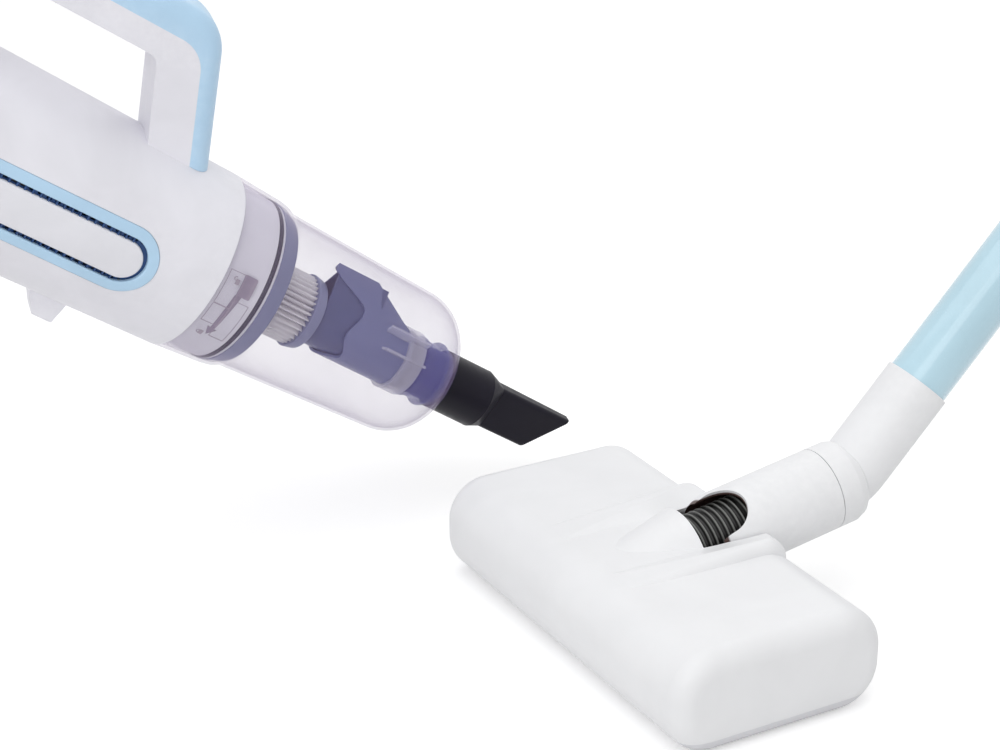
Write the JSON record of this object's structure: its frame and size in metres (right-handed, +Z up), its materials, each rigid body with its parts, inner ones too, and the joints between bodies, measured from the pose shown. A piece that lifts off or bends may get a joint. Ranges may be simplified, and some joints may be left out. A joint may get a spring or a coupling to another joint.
{
  "type": "cordless stick vacuum",
  "caption": "Cordless stick vacuum taken apart for use: hand unit with clear dust cup and crevice nozzle, beside a floor head with pivoting neck, swivel elbow and wand.",
  "frame": {"origin": "on the floor under the middle of the floor head", "axes": "+Z up, +Y from the floor head towards its neck and wand, +X along the head towards the side that the hand unit is not on"},
  "size_m": [0.4418, 0.8122, 0.4083],
  "materials": {
    "case_white": "satin moulded plastic with a faint lavender tint",
    "panel_white": "satin moulded plastic",
    "trim_blue": "smooth light blue plastic",
    "button_grey": "matt grey plastic",
    "vent_dark": "dark blue moulded grille",
    "clear_shell": "clear plastic with a faint lavender tint",
    "clear_violet": "clear plastic tinted violet blue",
    "smoke_blue": "smoky blue grey see-through plastic",
    "band_blue": "blue grey moulded plastic",
    "seal_black": "soft black rubber",
    "filter_paper": "white pleated filter paper",
    "filter_foam": "open cell foam",
    "nozzle_black": "satin black plastic",
    "inner_grey": "plain dark moulding",
    "fan_metal": "machined",
    "steel": "plain turned steel",
    "cell_wrap": "shrink wrap",
    "board_green": "coated circuit board",
    "wand_blue": "glossy light blue paint",
    "head_white": "smooth white plastic",
    "base_grey": "matt grey plastic",
    "lint_red": "lint pile",
    "hose_black": "flexible ribbed plastic",
    "wheel_grey": "soft tread"
  },
  "bodies": {
    "hand_unit": {"case_right": "case_white", "case_left": "case_white", "handle_trim": "trim_blue", "rear_cap": "case_white", "charge_socket": "nozzle_black", "exhaust_filter": "filter_foam", "rest_foot": "case_white", "case_screws": "steel", "front_spigot": "case_white", "seal_ring": "seal_black", "seal_band": "band_blue", "filter_frame": "band_blue", "filter_media": "filter_paper", "filter_cap": "band_blue", "motor_bulkhead": "inner_grey", "fan_cover": "inner_grey", "motor_can": "steel", "bearing_front": "steel", "bearing_rear": "steel", "motor_cradle": "inner_grey", "battery_cells": "cell_wrap", "battery_holder": "inner_grey", "control_board": "board_green", "button_switch": "inner_grey", "vent_bezel_right": "trim_blue", "vent_bezel_left": "trim_blue", "vent_panel_right": "panel_white", "vent_panel_left": "panel_white", "vent_grille_right": "vent_dark", "vent_grille_left": "vent_dark"},
    "rotor": {"impeller": "fan_metal", "motor_shaft": "steel"},
    "power_button": {"power_button": "button_grey"},
    "cup": {"dust_cup": "clear_shell", "inlet_collar": "clear_violet", "inlet_duct": "smoke_blue", "cup_ribs": "clear_shell"},
    "nozzle": {"crevice_nozzle": "nozzle_black"},
    "floor_head": {"head_top": "head_white", "head_base": "base_grey", "sole_plate": "base_grey", "lint_strips": "lint_red", "suction_duct": "inner_grey", "head_screws": "steel", "pivot_pins": "steel", "wheel_axles": "steel", "hose_head": "hose_black"},
    "neck": {"neck": "head_white", "hose_neck": "hose_black", "hose_cuff": "hose_black"},
    "elbow": {"elbow": "head_white", "swivel_collar": "head_white"},
    "wand": {"wand_tube": "wand_blue", "wand_top": "head_white"},
    "wheel_rear_left": {"wheel_rear_left": "wheel_grey"},
    "wheel_rear_right": {"wheel_rear_right": "wheel_grey"},
    "wheel_front_left": {"wheel_front_left": "wheel_grey"},
    "wheel_front_right": {"wheel_front_right": "wheel_grey"}
  },
  "joints": [
    {"name": "rotor_spin", "type": "hinge", "parent": "hand_unit", "child": "rotor", "pos_m": [-0.24561, -0.20377, 0.19874], "axis": [0.1043, 0.8254, -0.5548], "continuous": true},
    {"name": "button_press", "type": "slide", "parent": "hand_unit", "child": "power_button", "axis": [-0.2239, -0.5241, -0.8217], "range_m": [0, 0.002], "stiffness_N_per_m": 600, "springref_m": -0.001},
    {"name": "cup_twist", "type": "hinge", "parent": "hand_unit", "child": "cup", "pos_m": [-0.23831, -0.14599, 0.1599], "axis": [0.1043, 0.8254, -0.5548], "range_deg": [0, 20]},
    {"name": "nozzle_pull", "type": "slide", "parent": "cup", "child": "nozzle", "axis": [0.1043, 0.8254, -0.5548], "range_m": [0, 0.03]},
    {"name": "floor_group_lift", "type": "slide", "parent": "hand_unit", "child": "floor_head", "axis": [0, 0, 1], "range_m": [0, 0.08]},
    {"name": "neck_pitch", "type": "hinge", "parent": "floor_head", "child": "neck", "pos_m": [0, 0.04538, 0.04981], "axis": [1, 0, 0], "range_deg": [0, 75]},
    {"name": "elbow_swivel", "type": "hinge", "parent": "neck", "child": "elbow", "pos_m": [0, 0.10951, 0.06043], "axis": [0, 0.9866, 0.1633], "range_deg": [-90, 90]},
    {"name": "wand_pull", "type": "slide", "parent": "elbow", "child": "wand", "axis": [0.0414, 0.6681, 0.743], "range_m": [0, 0.028]},
    {"name": "spin_wheel_rear_left", "type": "hinge", "parent": "floor_head", "child": "wheel_rear_left", "pos_m": [-0.088, 0.044, 0.009], "axis": [1, 0, 0], "continuous": true},
    {"name": "spin_wheel_rear_right", "type": "hinge", "parent": "floor_head", "child": "wheel_rear_right", "pos_m": [0.088, 0.044, 0.009], "axis": [1, 0, 0], "continuous": true},
    {"name": "spin_wheel_front_left", "type": "hinge", "parent": "floor_head", "child": "wheel_front_left", "pos_m": [-0.088, 0.012, 0.009], "axis": [1, 0, 0], "continuous": true},
    {"name": "spin_wheel_front_right", "type": "hinge", "parent": "floor_head", "child": "wheel_front_right", "pos_m": [0.088, 0.012, 0.009], "axis": [1, 0, 0], "continuous": true}
  ]
}
